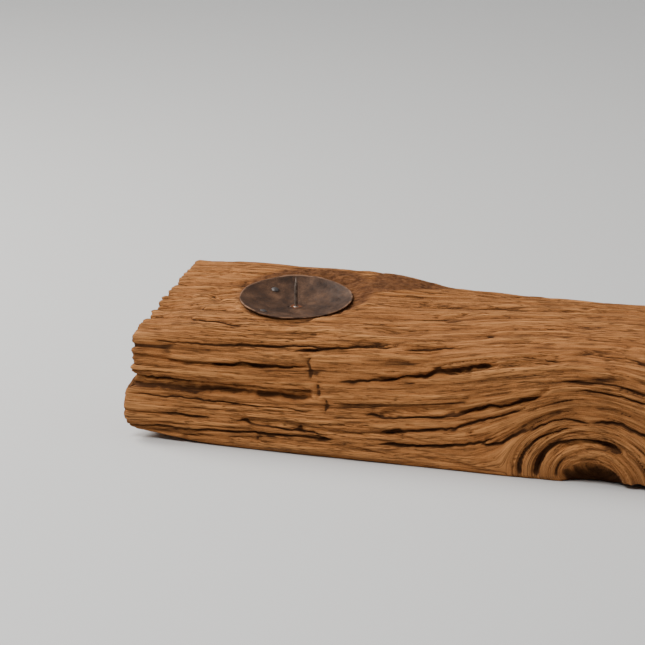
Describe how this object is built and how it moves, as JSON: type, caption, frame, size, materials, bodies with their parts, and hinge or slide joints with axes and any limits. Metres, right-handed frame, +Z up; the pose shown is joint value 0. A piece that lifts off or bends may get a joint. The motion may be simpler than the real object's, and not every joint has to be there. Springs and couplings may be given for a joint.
{
  "type": "pricket candle holder",
  "caption": "Low candle holder: a long weathered timber beam with shallow hammered iron pricket dishes nailed into seats scooped in its top.",
  "frame": {"origin": "centre of the rectangle the beam covers, on the surface it lies on", "axes": "+X along the beam, +Y to the higher back edge, +Z up"},
  "size_m": [0.64, 0.1381, 0.1292],
  "materials": {
    "timber": "bare, deeply weathered",
    "dish_iron": "hammered, dark brown rust patina",
    "spike_iron": "drawn, worn dark grey",
    "nail_iron": "forged, worn dark grey"
  },
  "bodies": {
    "root": {"beam": "timber", "dish_left": "dish_iron", "dish_right": "dish_iron", "spike_left": "spike_iron", "spike_right": "spike_iron", "nail_left_back": "nail_iron", "nail_left_front": "nail_iron", "nail_right_back": "nail_iron", "nail_right_front": "nail_iron"}
  },
  "joints": []
}
